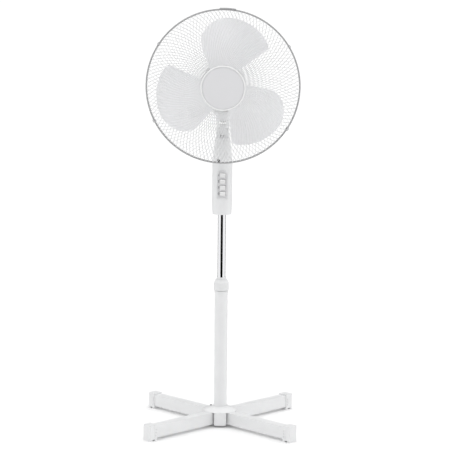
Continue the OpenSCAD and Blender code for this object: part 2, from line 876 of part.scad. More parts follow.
module front_guard() {
    plate_f = rim_f + rim_half + front_depth;
    color("whitesmoke") on_motor() {
        guard_cage(1, front_depth, 7);
        translate([0, 0, plate_f - 0.8]) cylinder(r = plate_r - 4, h = 1.6);
        screw_lug(rim_f + rim_half - 0.7);
        // the wide hook that hangs the front guard on the rear guard's rim
        rotate([0, 0, 90 + guard_turn - 6]) rotate_extrude(angle = 12, $fn = 96) polygon([
            [guard_r + 1, rim_f + 6.6], [guard_r + 4.4, rim_f + 5], [guard_r + 4.4, rim_f - 7.4],
            [guard_r - 1.5, rim_f - 7.4], [guard_r - 1.5, rim_f - 5.9], [guard_r + 2.8, rim_f - 5.9],
            [guard_r + 2.8, rim_f + 3.2], [guard_r + 1, rim_f + 4]]);
    }
}

module guard_nut() {
    color("white") difference() {
        union() {
            on_motor(rim_f - rim_half - rear_depth + 0.9) tube(41, neck_r + 0.1, 8);
            for (a = [45:90:315])
                on_motor(rim_f - rim_half - rear_depth + 0.9) rotate([0, 0, a])
                    block([38, -5, 1], [46, 5, 7]);
        }
        for (a = [0:15:345])
            on_motor(rim_f - rim_half - rear_depth + 3) rotate([0, 0, a]) translate([41.6, 0, 0])
                cylinder(r = 1.5, h = 10, $fn = 16);
    }
}

module guard_cap() {
    back = rim_f + rim_half + front_depth + 0.9;
    color("white") on_motor() difference() {
        rotate_extrude() polygon([[0, back + 5], [cap_r - 12, back + 4.2], [cap_r - 5, back + 3.6],
            [cap_r - 4, back + 6], [cap_r - 1.4, back + 6], [cap_r, back + 4], [cap_r, back + 0.4], [cap_r - 2, back + 0.4],
            [cap_r - 2, back + 2], [0, back + 2]]);
    }
}

module guard_screw() {
    color("black") on_motor() rotate([0, 0, 270 + guard_turn]) translate([guard_r - 6.5, 0, rim_f - 7]) {
        cylinder(r = 1.9, h = 12);
        translate([0, 0, 10.8]) cylinder(r = 3.6, h = 2.2);
    }
}

// A sprung clip that turns on the rear rim and snaps over the front rim.
module guard_clip(i) {
    eye = clip_bore + 1.7;
    // a 2D section: +X is outwards, +Y is forwards, about the rear rim wire
    color("gainsboro") on_motor() rotate([0, 0, clip_angles[i]]) translate([guard_r, clip_w / 2, rim_f - rim_half])
        rotate([90, 0, 0]) linear_extrude(clip_w) difference() {
            union() {
                circle(r = eye);
                translate([clip_bore, 0]) square([eye - clip_bore, 2 * rim_half + 1]);
                translate([-0.6, 2 * rim_half + clip_bore]) square([eye + 0.6, 1.5]);
                translate([clip_bore, 2 * rim_half]) square([eye - clip_bore, clip_bore + 1.5]);
            }
            circle(r = clip_bore);
            // the open mouth of the eye, also clear of the front rim as the clip swings
            polygon(concat([[0, 0]], [for (a = [60:5:215]) 5.2 * [cos(a), sin(a)]]));
        }
}

module guard_clip_1() { guard_clip(0); }
module guard_clip_2() { guard_clip(1); }
module guard_clip_3() { guard_clip(2); }
module guard_clip_4() { guard_clip(3); }

// ---------- rotor ----------

module motor_shaft() {
    worm_len = worm_turns * worm_pitch;
    color("silver") {
        on_motor(-36) cylinder(r = shaft_r, h = hub_front + 12 + 36);
        on_motor(gear_f - worm_len / 2 - 4) cylinder(r = shaft_r - 0.7, h = worm_len + 14);
        on_motor(gear_f - worm_len / 2)
            linear_extrude(height = worm_len, twist = -360 * worm_turns, slices = worm_turns * 8)
                translate([tooth, 0]) circle(r = worm_r, $fn = 12);
    }
}

module rotor_core() {
    color("gray") on_motor(stack_back) tube(21.7, shaft_r, stack_front - stack_back);
}

// Tip radius along a blade, u running from the leading edge (0) to the trailing edge (1).
function tip_r(u) =
    let (crown = 0.815 + 0.072 * sin(180 * pow(u, 1.35)),
         corner = u < 0.5 ? 0.74 : 0.62,
         round = pow(max(0, 1 - pow(abs(2 * u - 1), 3.4)), 0.5))
    blade_sweep_r / 0.885 * (corner + (crown - corner) * round);

// Angle of a blade's point from its leading edge, at share u of its width and radius r.
function blade_angle(u, r) =
    let (s = (r - hub_r) / (blade_sweep_r - hub_r),
         lead = 6 * pow(1 - s, 2),
         trail = blade_span + 14 * pow(max(0, 1 - s), 1.5) - 4)
    lead + (trail - lead) * u;

module blade(steps_u, steps_r) {
    function side_point(iu, ir, side) =
        let (u = iu / steps_u,
             r = hub_r - 2 + (tip_r(u) - hub_r + 2) * ir / steps_r,
             a = blade_start + blade_angle(u, r),
             f = blade_back + blade_rise * u - 5 * sin(180 * u) + side * blade_t / 2)
        [r * cos(a), r * sin(a), f];
    cols = steps_u + 1;
    rows = steps_r + 1;
    n = cols * rows;
    points = [for (side = [1, -1], ir = [0:steps_r], iu = [0:steps_u]) side_point(iu, ir, side)];
    edge = concat([for (iu = [0:steps_u - 1]) iu], [for (ir = [0:steps_r - 1]) ir * cols + steps_u],
        [for (iu = [steps_u:-1:1]) steps_r * cols + iu], [for (ir = [steps_r:-1:1]) ir * cols]);
    faces = concat(
        [for (ir = [0:steps_r - 1], iu = [0:steps_u - 1], half = [0, 1])
            let (a = ir * cols + iu, b = a + 1, c = a + cols + 1, d = a + cols)
            half == 0 ? [a, b, c] : [a, c, d]],
        [for (ir = [0:steps_r - 1], iu = [0:steps_u - 1], half = [0, 1])
            let (a = n + ir * cols + iu, b = a + 1, c = a + cols + 1, d = a + cols)
            half == 0 ? [a, c, b] : [a, d, c]],
        [for (k = [0:len(edge) - 1], half = [0, 1])
            let (p = edge[k], q = edge[(k + 1) % len(edge)])
            half == 0 ? [p, q + n, q] : [p, p + n, q + n]]);
    polyhedron(points = points, faces = faces);
}

module fan_blade() {
    color("whitesmoke") on_motor() difference() {
        union() {
            difference() {
                translate([0, 0, hub_back]) cylinder(r = hub_r, h = hub_front - hub_back);
                translate([0, 0, hub_back - 1]) cylinder(r = hub_r - 3, h = hub_front - hub_back - 3);
            }
            translate([0, 0, hub_back + 4]) cylinder(r = 9, h = hub_front - hub_back - 4);
            difference() {
                for (i = [0:blade_count - 1])
                    rotate([0, 0, i * 360 / blade_count]) blade(12, 7);
                translate([0, 0, hub_back - 5]) cylinder(r = hub_r - 3, h = 80);
            }
        }
        translate([0, 0, hub_back - 5]) cylinder(r = shaft_r, h = 100);
    }
}

module blade_nut() {
    color("white") on_motor(hub_front) difference() {
        union() {
            cylinder(r = 15, h = 8);
            translate([0, 0, 8]) cylinder(r1 = 15, r2 = 11, h = 6);
        }
        translate([0, 0, -1]) cylinder(r = shaft_r, h = 13);
        for (a = [0:30:330])
            rotate([0, 0, a]) translate([15.8, 0, -1]) cylinder(r = 1.8, h = 8, $fn = 16);
    }
}

lower_bar();
upper_bar();
foot_cap(0);  // foot_cap_1
foot_cap(1);  // foot_cap_2
foot_cap(2);  // foot_cap_3
foot_cap(3);  // foot_cap_4
pole_flange();
flange_screws();
base_cover();
cover_screw();
outer_tube();
collar_bush();
height_nut();
inner_tube();
glide_bush();
control_front();
control_rear();
control_screws();
button_panel();
switch_block();
run_capacitor();
cord_gland();
key_off();
key_low();
key_medium();
key_high();
tilt_fork();
tilt_bolt();
tilt_nut();
tilt_knuckle();
swivel_bush();
thrust_washer();
swivel_base();
swivel_clip();
front_end_bell();
rear_end_bell();
shaft_bushes();
stator_core();
stator_windings();
motor_front_cover();
motor_rear_cover();
cover_screws();
gearbox_case();
worm_wheel();
clutch_knob();
crank_gear();
crank_link();
rear_guard();
guard_nut();
front_guard();
guard_cap();
guard_screw();
guard_clip_1();
guard_clip_2();
guard_clip_3();
guard_clip_4();
motor_shaft();
rotor_core();
fan_blade();
blade_nut();
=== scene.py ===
import bpy
import math
from mathutils import Matrix, Vector


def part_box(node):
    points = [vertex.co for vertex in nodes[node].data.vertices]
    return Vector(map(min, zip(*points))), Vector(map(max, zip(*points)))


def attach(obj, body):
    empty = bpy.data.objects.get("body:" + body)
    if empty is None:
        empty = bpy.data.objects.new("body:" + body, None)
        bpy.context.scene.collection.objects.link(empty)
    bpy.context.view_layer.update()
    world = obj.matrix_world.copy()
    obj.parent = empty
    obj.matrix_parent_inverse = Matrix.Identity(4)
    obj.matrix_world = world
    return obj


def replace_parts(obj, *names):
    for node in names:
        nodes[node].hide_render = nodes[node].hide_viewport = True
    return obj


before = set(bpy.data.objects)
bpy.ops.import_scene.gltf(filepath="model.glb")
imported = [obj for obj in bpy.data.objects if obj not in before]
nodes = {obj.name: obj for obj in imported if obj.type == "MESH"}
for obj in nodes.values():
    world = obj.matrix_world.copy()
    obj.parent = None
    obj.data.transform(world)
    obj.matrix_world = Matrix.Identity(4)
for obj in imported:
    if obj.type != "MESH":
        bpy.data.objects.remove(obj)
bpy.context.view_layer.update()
mm = 0.001


# the studio: camera, light and floor

studio = {
    "cameraPlace": (0.003, -5.5, 1.388),  # metres
    "cameraPitch": 8.54,                  # degrees below the horizon
    "cameraRoll": 0.52,
    "lens": 161.5,                        # millimetres, as is the sensor
    "sensor": 36,
    "shiftX": 0.0046,
    "nearest": 0.1,                       # metres, as is the farthest that the camera sees
    "farthest": 200,
    "horizon": 0.17,                      # brightness of the sky at the horizon
    "zenith": 1.27,                       # what is added to it straight up
    "sides": 0.45,                        # what is added to it at the left and right
    "lean": 0.05,                         # extra light from the right, and as much less from the left
    "cardBottom": 0.01,                   # metres
    "cardTop": 0.6,
    "cardTone": 0.004,
    "cards": {                            # degrees round from the front, distance, half width
        "Front": (0, 2.0, 1.3),
        "Back": (180, 1.2, 0.3),
        "BackLeft": (225, 1.2, 0.25),
        "BackRight": (135, 1.2, 0.25),
    },
    "floorSize": 60,                      # metres from the middle to each side
    "floorTone": 0.97,
}


def grey(tone):
    return (tone, tone, tone, 1)


def place(name, data):
    thing = bpy.data.objects.new(name, data)
    bpy.context.scene.collection.objects.link(thing)
    return thing


def placeCamera():
    data = bpy.data.cameras.new("studioCamera")
    data.lens = studio["lens"]
    data.sensor_width = studio["sensor"]
    data.shift_x = studio["shiftX"]
    data.clip_start, data.clip_end = studio["nearest"], studio["farthest"]
    camera = place("studioCamera", data)
    turn = Matrix.Rotation(math.radians(90 - studio["cameraPitch"]), 4, "X")
    roll = Matrix.Rotation(math.radians(studio["cameraRoll"]), 4, "Z")
    camera.matrix_world = Matrix.Translation(studio["cameraPlace"]) @ turn @ roll
    bpy.context.scene.camera = camera


# shader nodes: sockets that add, subtract, multiply and divide, and one way to make any other node

class Wire:
    def __init__(self, tree, socket):
        self.tree = tree
        self.socket = socket

    def work(self, operation, first, second):
        return addNode(self.tree, "ShaderNodeMath", {"operation": operation}, {0: first, 1: second})

    def __add__(self, other):
        return self.work("ADD", self, other)

    def __radd__(self, other):
        return self.work("ADD", other, self)

    def __sub__(self, other):
        return self.work("SUBTRACT", self, other)

    def __rsub__(self, other):
        return self.work("SUBTRACT", other, self)

    def __mul__(self, other):
        return self.work("MULTIPLY", self, other)

    def __rmul__(self, other):
        return self.work("MULTIPLY", other, self)

    def __truediv__(self, other):
        return self.work("DIVIDE", self, other)

    def __rtruediv__(self, other):
        return self.work("DIVIDE", other, self)


def join(tree, slot, value):
    if isinstance(value, Wire):
        tree.links.new(value.socket, slot)
    else:
        slot.default_value = value


def addNode(tree, kind, settings, inputs, out=0):
    node = tree.nodes.new(kind)
    for name, value in settings.items():
        setattr(node, name, value)
    for name, value in inputs.items():
        join(tree, node.inputs[name], value)
    return Wire(tree, node.outputs[out])


class Finish:
    # one material (or the sky) and the nodes that feed it
    def __init__(self, name, library=None):
        sky = library is not None
        self.material = (library if sky else bpy.data.materials).new(name)
        self.material.use_nodes = True
        self.tree = self.material.node_tree
        self.shader = self.tree.nodes["Background" if sky else "Principled BSDF"]
        self.place = self.add("ShaderNodeTexCoord", {}, {}, "Generated" if sky else "Object")

    def add(self, kind, settings, inputs, out=0):
        return addNode(self.tree, kind, settings, inputs, out)

    def noise(self, scale, detail=3, stretch=(1, 1, 1)):
        spot = self.add("ShaderNodeMapping", {}, {"Vector": self.place, "Scale": stretch})
        return self.add("ShaderNodeTexNoise", {"noise_dimensions": "3D"},
                        {"Vector": spot, "Scale": scale, "Detail": detail, "Roughness": 0.5})

    def cells(self, scale):
        return self.add("ShaderNodeTexVoronoi", {"feature": "F1"}, {"Vector": self.place, "Scale": scale},
                        "Distance")

    def ramp(self, value, low, high, start=0.0, end=1.0):
        return self.add("ShaderNodeMapRange", {"clamp": True},
                        {"Value": value, "From Min": low, "From Max": high, "To Min": start, "To Max": end})

    def blendColors(self, share, first, second):
        # the colour sockets of a Mix node are its inputs 6 and 7 and its output 2
        return self.add("ShaderNodeMix", {"data_type": "RGBA"}, {0: share, 6: first, 7: second}, 2)

    def bump(self, height, depth):
        return self.add("ShaderNodeBump", {}, {"Height": height, "Distance": depth, "Strength": 1.0},
                        "Normal")

    def part(self, value, axis):
        return self.add("ShaderNodeSeparateXYZ", {}, {"Vector": value}, axis)

    def set(self, **values):
        for name, value in values.items():
            join(self.tree, self.shader.inputs[socketNames[name]], value)
        return self.material


socketNames = {
    "color": "Base Color", "roughness": "Roughness", "metallic": "Metallic", "normal": "Normal",
    "coat": "Coat Weight", "ior": "IOR", "specular": "Specular IOR Level", "subsurface": "Subsurface Weight",
}


surface = {
    # depth of the relief on each kind of surface, metres
    "mould": 0.00012, "spark": 0.00008, "powder": 0.00009, "chrome": 0.000012, "turning": 0.00003,
    "cast": 0.00018, "sheets": 0.0001, "winding": 0.0003, "pores": 0.00006, "nylon": 0.00003,
    "blade": 0.00015,
    "sheetThickness": 0.00025,
    "rust": (0.22, 0.16, 0.12, 1),
    "plasticIor": 1.5,
}


def shade(color, factor):
    return tuple(min(1, c * factor) for c in color[:3]) + (1,)


def mouldedPlastic(name, color, gloss=0.3):
    # glossy moulding: faint flow marks, fine grain and a slightly uneven gloss
    f = Finish(name)
    flow = f.noise(9, 2, (1, 1, 0.35))
    fine = f.noise(1400, 2)
    dust = f.noise(60, 4)
    wave = f.noise(28, 1)
    tone = f.blendColors(f.ramp(flow, 0.35, 0.7), shade(color, 0.975), color)
    tone = f.blendColors(f.ramp(dust, 0.58, 0.8, 0, 0.25), tone, shade(color, 0.94))
    return f.set(color=tone, roughness=gloss + 0.1 * f.ramp(dust, 0.4, 0.7) + 0.04 * flow,
                 normal=f.bump(fine * 0.12 + wave * 0.9, surface["mould"]), ior=surface["plasticIor"])


def texturedPlastic(name, color, gloss=0.55, grain=700):
    # spark-eroded mould surface
    f = Finish(name)
    pits = f.cells(grain)
    cloud = f.noise(35, 3)
    tone = f.blendColors(f.ramp(cloud, 0.35, 0.7), shade(color, 0.95), color)
    return f.set(color=tone, roughness=gloss + 0.12 * cloud,
                 normal=f.bump(pits + 0.5 * cloud, surface["spark"]), ior=1.48)


def powderCoat(name, color, gloss=0.34):
    # baked powder: orange peel under a semi-gloss skin
    f = Finish(name)
    peel = f.noise(520, 2)
    swell = f.noise(120, 1)
    dust = f.noise(18, 4)
    tone = f.blendColors(f.ramp(dust, 0.45, 0.75), color, shade(color, 0.965))
    return f.set(color=tone, roughness=gloss + 0.14 * f.ramp(dust, 0.4, 0.7),
                 normal=f.bump(peel * 0.7 + swell, surface["powder"]), ior=surface["plasticIor"])


def chromePlate(name, color):
    # polished plate with the faint rings and scuffs that the collar leaves
    f = Finish(name)
    scuff = f.noise(40, 4, (14, 14, 0.5))
    haze = f.noise(16, 3)
    return f.set(color=color, metallic=1.0, roughness=0.03 + 0.07 * f.ramp(scuff, 0.55, 0.8) + 0.03 * haze,
                 normal=f.bump(scuff * 0.5 + haze, surface["chrome"]))


def platedSteel(name, color, gloss=0.32):
    # zinc plate: cloudy, slightly yellow passivation and fine turning marks
    f = Finish(name)
    cloud = f.noise(70, 5)
    turning = f.noise(900, 2, (1, 1, 6))
    yellowed = (color[0], color[1] * 0.97, color[2] * 0.86)
    tone = f.blendColors(f.ramp(cloud, 0.4, 0.7), color, shade(yellowed, 0.9))
    return f.set(color=tone, metallic=1.0, roughness=gloss + 0.15 * cloud,
                 normal=f.bump(turning, surface["turning"]))


def castAlloy(name, color):
    # die-cast surface: dull, pebbly, darker in its flow lines
    f = Finish(name)
    pebble = f.noise(420, 4)
    flow = f.noise(30, 4, (1, 1, 2))
    tone = f.blendColors(f.ramp(flow, 0.35, 0.7), shade(color, 0.78), color)
    return f.set(color=tone, metallic=1.0, roughness=0.42 + 0.2 * flow,
                 normal=f.bump(pebble, surface["cast"]))


def stackedSheets(name, color):
    # thin sheets of steel, pressed together along the motor's axis
    f = Finish(name)
    sheet = surface["sheetThickness"]
    stripe = f.add("ShaderNodeMath", {"operation": "PINGPONG"}, {0: f.part(f.place, "Y"), 1: sheet}) / sheet
    rust = f.noise(90, 5)
    tone = f.blendColors(f.ramp(rust, 0.5, 0.72), color, surface["rust"])
    tone = f.blendColors(f.ramp(stripe, 0.0, 0.35), shade(color, 0.4), tone)
    return f.set(color=tone, metallic=0.85, roughness=0.45 + 0.2 * rust,
                 normal=f.bump(f.ramp(stripe, 0, 0.4), surface["sheets"]))


def woundCopper(name, color):
    # bundles of enamelled wire
    f = Finish(name)
    spot = f.add("ShaderNodeMapping", {}, {"Vector": f.place, "Rotation": (0, 0.5, 0.3)})
    strands = f.add("ShaderNodeTexWave", {"wave_type": "BANDS", "bands_direction": "DIAGONAL"},
                    {"Vector": spot, "Scale": 420, "Distortion": 1.6, "Detail": 1.0, "Detail Scale": 0.4},
                    "Fac")
    varnish = f.noise(80, 3)
    tone = f.blendColors(strands, shade(color, 0.35), color)
    tone = f.blendColors(f.ramp(varnish, 0.5, 0.7, 0, 0.5), tone, shade(color, 0.55))
    return f.set(color=tone, metallic=0.75, roughness=0.3 + 0.25 * varnish,
                 normal=f.bump(strands, surface["winding"]))


def sinteredBronze(name, color):
    # pressed powder bush: fine pores, cloudy with oil
    f = Finish(name)
    pores = f.cells(1300)
    oil = f.noise(50, 3)
    tone = f.blendColors(f.ramp(pores, 0.0, 0.3), shade(color, 0.45), color)
    return f.set(color=tone, metallic=0.9, roughness=0.35 + 0.25 * oil,
                 normal=f.bump(pores, surface["pores"]))


def plainNylon(name, color):
    # natural nylon: milky, waxy, a little light goes in
    f = Finish(name)
    milk = f.noise(45, 3)
    tone = f.blendColors(f.ramp(milk, 0.3, 0.7), shade(color, 0.92), color)
    return f.set(color=tone, roughness=0.42 + 0.12 * milk, subsurface=0.15,
                 normal=f.bump(f.noise(800, 2), surface["nylon"]), ior=1.53)


def bladePlastic(name, color):
    # clear-gloss blade moulding, slightly cloudy
    f = Finish(name)
    flow = f.noise(14, 3)
    sweep = f.noise(5, 2)
    swell = f.noise(30, 1)
    fine = f.noise(900, 2)
    tone = f.blendColors(f.ramp(flow, 0.35, 0.7), shade(color, 0.97), color)
    tone = f.blendColors(f.ramp(sweep, 0.4, 0.65, 0, 0.6), tone, shade(color, 1.04))
    return f.set(color=tone, roughness=0.24 + 0.1 * flow, coat=0.2,
                 normal=f.bump(swell + 0.1 * fine, surface["blade"]), ior=surface["plasticIor"])


paints = {
    "whiteSteel": powderCoat("whiteSteel", (0.83, 0.835, 0.84, 1)),
    "wireSteel": powderCoat("wireSteel", (0.84, 0.845, 0.85, 1), 0.3),
    # grey copy of the white guard steel: painted shade for the rim's shaded underside, darker than the wires
    "rimSteelPaintedShade": powderCoat("rimSteelPaintedShade", (0.42, 0.42, 0.425, 1), 0.3),
    "whiteShell": mouldedPlastic("whiteShell", (0.84, 0.845, 0.85, 1)),
    "keyPlastic": mouldedPlastic("keyPlastic", (0.9, 0.9, 0.9, 1), 0.24),
    "clipPlastic": mouldedPlastic("clipPlastic", (0.62, 0.62, 0.63, 1), 0.34),
    # darker copy of the white shell plastic: painted shade on the cap's front-facing face
    "capPaintedShade": mouldedPlastic("capPaintedShade", (0.77, 0.77, 0.785, 1), 0.3),
    # brighter copy of the white shell plastic: painted highlight on the cap's side-facing ring
    "capPaintedHighlight": mouldedPlastic("capPaintedHighlight", (0.96, 0.96, 0.96, 1), 0.2),
    "panelGrey": texturedPlastic("panelGrey", (0.8, 0.8, 0.81, 1)),
    "blackPlastic": texturedPlastic("blackPlastic", (0.03, 0.03, 0.032, 1), 0.5),
    "capacitorCase": texturedPlastic("capacitorCase", (0.7, 0.7, 0.68, 1), 0.45, 400),
    "chromePlate": chromePlate("chromePlate", (0.79, 0.795, 0.81, 1)),
    "zincPlate": platedSteel("zincPlate", (0.6, 0.6, 0.58, 1)),
    "blackSteel": platedSteel("blackSteel", (0.05, 0.05, 0.055, 1), 0.4),
    "castAlloy": castAlloy("castAlloy", (0.66, 0.66, 0.67, 1)),
    "coreSheets": stackedSheets("coreSheets", (0.32, 0.32, 0.34, 1)),
    "copperWire": woundCopper("copperWire", (0.66, 0.29, 0.12, 1)),
    "bushBronze": sinteredBronze("bushBronze", (0.6, 0.42, 0.2, 1)),
    "gearNylon": plainNylon("gearNylon", (0.82, 0.79, 0.7, 1)),
    "bladePlastic": bladePlastic("bladePlastic", (0.93, 0.93, 0.945, 1)),
    "digitInk": texturedPlastic("digitInk", (0.12, 0.12, 0.13, 1), 0.6),
}
print("finishes:", len(paints))


# the CAD parts: finish and softened edges

nodePaints = {
    "whiteSteel": "lower_bar upper_bar outer_tube",
    "whiteShell": "foot_cap_1 foot_cap_2 foot_cap_3 foot_cap_4 base_cover collar_bush height_nut glide_bush "
                  "control_front control_rear cord_gland tilt_fork tilt_knuckle motor_front_cover "
                  "motor_rear_cover clutch_knob guard_nut blade_nut",
    "keyPlastic": "key_off key_low key_medium key_high",
    "zincPlate": "flange_screws control_screws tilt_bolt tilt_nut swivel_clip cover_screws crank_link "
                 "motor_shaft pole_flange",
    "clipPlastic": "guard_clip_1 guard_clip_2 guard_clip_3 guard_clip_4",
    "blackSteel": "guard_screw cover_screw",
    "chromePlate": "inner_tube",
    "panelGrey": "button_panel",
    "blackPlastic": "switch_block",
    "capacitorCase": "run_capacitor",
    "bushBronze": "swivel_bush shaft_bushes",
    "gearNylon": "thrust_washer gearbox_case worm_wheel crank_gear",
    "castAlloy": "swivel_base front_end_bell rear_end_bell",
    "coreSheets": "stator_core rotor_core",
    "copperWire": "stator_windings",
    # the cap node takes the darker painted shade copy of the white plastic
    "capPaintedShade": "guard_cap",
    "bladePlastic": "fan_blade",
    "wireSteel": "rear_guard front_guard",
}
flats = {
    "weldWithin": 2e-6,   # metres
    "sameFlat": 0.4,      # degrees between faces that become one
    "softenFrom": 34,     # degrees at an edge that is softened
    "bevelSegments": 2,
    "faceWeight": 100,
}
edges = {  # width of the softened edges, millimetres
    "usual": 0.5, "foot_cap_1": 0.8, "foot_cap_2": 0.8, "foot_cap_3": 0.8, "foot_cap_4": 0.8,
    "lower_bar": 1.6, "upper_bar": 1.6, "base_cover": 0.7, "height_nut": 0.4, "inner_tube": 0.2,
    "control_front": 0.35, "control_rear": 0.35, "button_panel": 0.4, "key_off": 0.7, "key_low": 0.7,
    "key_medium": 0.7, "key_high": 0.7, "motor_shaft": 0, "rear_guard": 0, "front_guard": 0, "fan_blade": 0,
    "tilt_fork": 1.0, "tilt_knuckle": 0.8, "motor_front_cover": 0.5, "motor_rear_cover": 0.5,
    "worm_wheel": 0, "crank_gear": 0, "clutch_knob": 0.6,
}


def smoothFaces(mesh):
    for face in mesh.polygons:
        face.use_smooth = True


def weld(part):
    part.modifiers.new("weld", "WELD").merge_threshold = flats["weldWithin"]


def softenEdges(part, width):
    weld(part)
    merge = part.modifiers.new("mergeFlats", "DECIMATE")
    merge.decimate_type = "DISSOLVE"
    merge.angle_limit = math.radians(flats["sameFlat"])
    if width:
        bevel = part.modifiers.new("softEdge", "BEVEL")
        bevel.width = width * mm
        bevel.segments = flats["bevelSegments"]
        bevel.limit_method = "ANGLE"
        bevel.angle_limit = math.radians(flats["softenFrom"])
    even = part.modifiers.new("evenShading", "WEIGHTED_NORMAL")
    even.weight = flats["faceWeight"]
    even.keep_sharp = True
    smoothFaces(part.data)


def dressParts():
    for paint, names in nodePaints.items():
        for name in names.split():
            part = nodes[name]
            part.data.materials.clear()
            part.data.materials.append(paints[paint])
            softenEdges(part, edges.get(name, edges["usual"]))


dressParts()
print("CAD parts dressed:", len(nodes))


# the fan's own shapes

def middle(name):
    low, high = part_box(name)
    return [(a + b) / 2 for a, b in zip(low, high)]


axisZ = middle("rotor_core")[2]


def ahead(x, up, f):
    # a point in the motor's own measure: millimetres to the right, up, and forwards of the pole
    return Vector((x * mm, -f * mm, axisZ + up * mm))


class Sheaf:
    # collects points and faces of several shapes for one piece
    def __init__(self):
        self.points = []
        self.faces = []

    def take(self, points, faces):
        base = len(self.points)
        self.points += points
        self.faces += [tuple(base + k for k in face) for face in faces]

    def rod(self, path, radius, sides):
        # a round bar along a path of points
        points, faces = [], []
        for i, spot in enumerate(path):
            along = (path[min(i + 1, len(path) - 1)] - path[max(i - 1, 0)]).normalized()
            side = along.cross(Vector((0, 1, 0)))
            if side.length < 0.05:  # the bar runs straight ahead
                side = along.cross(Vector((0, 0, 1)))
            side.normalize()
            over = along.cross(side)
            for a in circle(sides):
                points.append(spot + radius * (math.cos(a) * side + math.sin(a) * over))
        last = (len(path) - 1) * sides
        for i in range(0, last, sides):
            for k in range(sides):
                n = (k + 1) % sides
                faces.append((i + k, i + sides + k, i + sides + n, i + n))
        faces.append(tuple(range(sides)))
        faces.append(tuple(last + k for k in reversed(range(sides))))
        self.take(points, faces)

    def lathe(self, profile, steps, start=0.0, sweep=360.0):
        # a profile of (radius, forwards) turned round the motor's axis; closed in its own plane
        whole = sweep >= 360
        rings = steps if whole else steps + 1
        count = len(profile)
        points, faces = [], []
        for i in range(rings):
            a = math.radians(start + sweep * i / steps)
            for r, f in profile:
                points.append(ahead(r * math.cos(a), r * math.sin(a), f))
        for i in range(steps):
            j = (i + 1) % rings
            for k in range(count):
                n = (k + 1) % count
                faces.append((i * count + k, i * count + n, j * count + n, j * count + k))
        if not whole:
            faces.append(tuple(reversed(range(count))))
            faces.append(tuple((rings - 1) * count + k for k in range(count)))
        self.take(points, faces)

    def piece(self, name, finish, body, slot):
        mesh = bpy.data.meshes.new(name)
        mesh.from_pydata([tuple(p) for p in self.points], [], self.faces)
        mesh.validate()
        mesh.materials.append(paints[finish])
        smoothFaces(mesh)
        made = place(name, mesh)
        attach(made, body)
        return made


def circle(count):
    return [2 * math.pi * k / count for k in range(count)]


def quarter(steps):
    return [math.pi / 2 * k / steps for k in range(steps + 1)]


# wire guards

guard = {
    "wires": 120,           # in each guard
    "skew": 26,             # turn of a wire between centre and rim, degrees
    "turn": -3,             # turn of the whole guard, degrees
    "wireRadius": 0.85,     # millimetres, as are the rest
    "wireSides": 6,
    "wireSteps": 22,
    "wireStart": 49,
    "wireEnd": 203.7,       # where the wires end, welded to the inner side of the rim
    "domeShape": (6, 0.45),
    "rimRadius": 205.5,     # to the middle of the rim wire
    "rimWire": 2.28,
    "rimSides": 12,
    "rimSteps": 180,
    "rimGap": 3,            # from the split plane to each rim
    "rimAt": 100,           # the split plane, forwards of the pole
    "rearDepth": 49.5,
    "frontDepth": 51,
    "plateRadius": 54,
    "plateHalf": 0.8,       # half the plate's thickness
    "plateRib": 0.9,        # height of its raised ring
    "plateSteps": (96, 16),
    "rearHole": 33.6,
    "frontHole": 0.5,
    "lugInset": 6.5,        # from the rim to the middle of the screw eye
    "lugRadius": 4.5,
    "lugReach": 1.4,        # how much farther the eye reaches to the rim
    "lugHole": 2.0,
    "lugHalf": 0.7,
    "lugSteps": 24,
    "hookWide": 12,         # degrees
    "hookSteps": 24,
}


def domeDepth(r, depth):
    power, bend = guard["domeShape"]
    return depth * max(0, 1 - (r / guard["wireEnd"]) ** power) ** bend


def guardWires(bundle, side, depth):
    inner, steps = guard["wireStart"], guard["wireSteps"]
    for i in range(guard["wires"]):
        path = []
        for j in range(steps + 1):
            t = 1 - (1 - j / steps) ** 2
            r = inner + (guard["wireEnd"] - inner) * t
            turn = guard["turn"] + (i + 0.5) * 360 / guard["wires"] + side * guard["skew"] * (1 - t)
            a = math.radians(turn)
            f = guard["rimAt"] + side * (guard["rimGap"] + domeDepth(r, depth))
            path.append(ahead(r * math.cos(a), r * math.sin(a), f))
        bundle.rod(path, guard["wireRadius"] * mm, guard["wireSides"])


def guardRim(bundle, side):
    r, f, wire = guard["rimRadius"], guard["rimAt"] + side * guard["rimGap"], guard["rimWire"]
    bundle.lathe([(r + wire * math.cos(a), f + wire * math.sin(a)) for a in circle(guard["rimSides"])],
                 guard["rimSteps"])


def screwLug(bundle, side):
    # the flat eye at the bottom of each rim, for the closing screw
    f = guard["rimAt"] + side * guard["rimGap"]
    turn = math.radians(270 + guard["turn"])
    out = Vector((math.cos(turn), 0, math.sin(turn)))
    across = Vector((-math.sin(turn), 0, math.cos(turn)))
    r, wide = guard["rimRadius"] - guard["lugInset"], guard["lugRadius"]
    rim, hole = [], []
    for a in circle(guard["lugSteps"]):
        c, s = math.cos(a), math.sin(a)
        rim.append(((wide + guard["lugReach"] * max(0, c)) * c, wide * s))
        hole.append((guard["lugHole"] * c, guard["lugHole"] * s))
    points = [ahead(0, 0, f + shift) + ((r + u) * out + v * across) * mm
              for outline in (rim, hole)
              for shift in (-guard["lugHalf"], guard["lugHalf"])
              for u, v in outline]
    n, faces = guard["lugSteps"], []
    for k in range(n):
        m = (k + 1) % n
        faces += [(k, m, n + m, n + k), (2 * n + m, 2 * n + k, 3 * n + k, 3 * n + m),
                  (n + k, n + m, 3 * n + m, 3 * n + k), (m, k, 2 * n + k, 2 * n + m)]
    bundle.take(points, faces)


def centrePlate(bundle, at, inner):
    # the pressed plate in the middle of a guard, with a raised ring
    turns, steps = guard["plateSteps"]
    top, back = [], []
    for k in range(steps + 1):
        r = inner + (guard["plateRadius"] - inner) * k / steps
        lift = guard["plateRib"] * math.sin(math.pi * k / steps) ** 2
        top.append((r, at + guard["plateHalf"] + lift))
        back.append((r, at - guard["plateHalf"] + lift))
    bundle.lathe(top + back[::-1], turns)


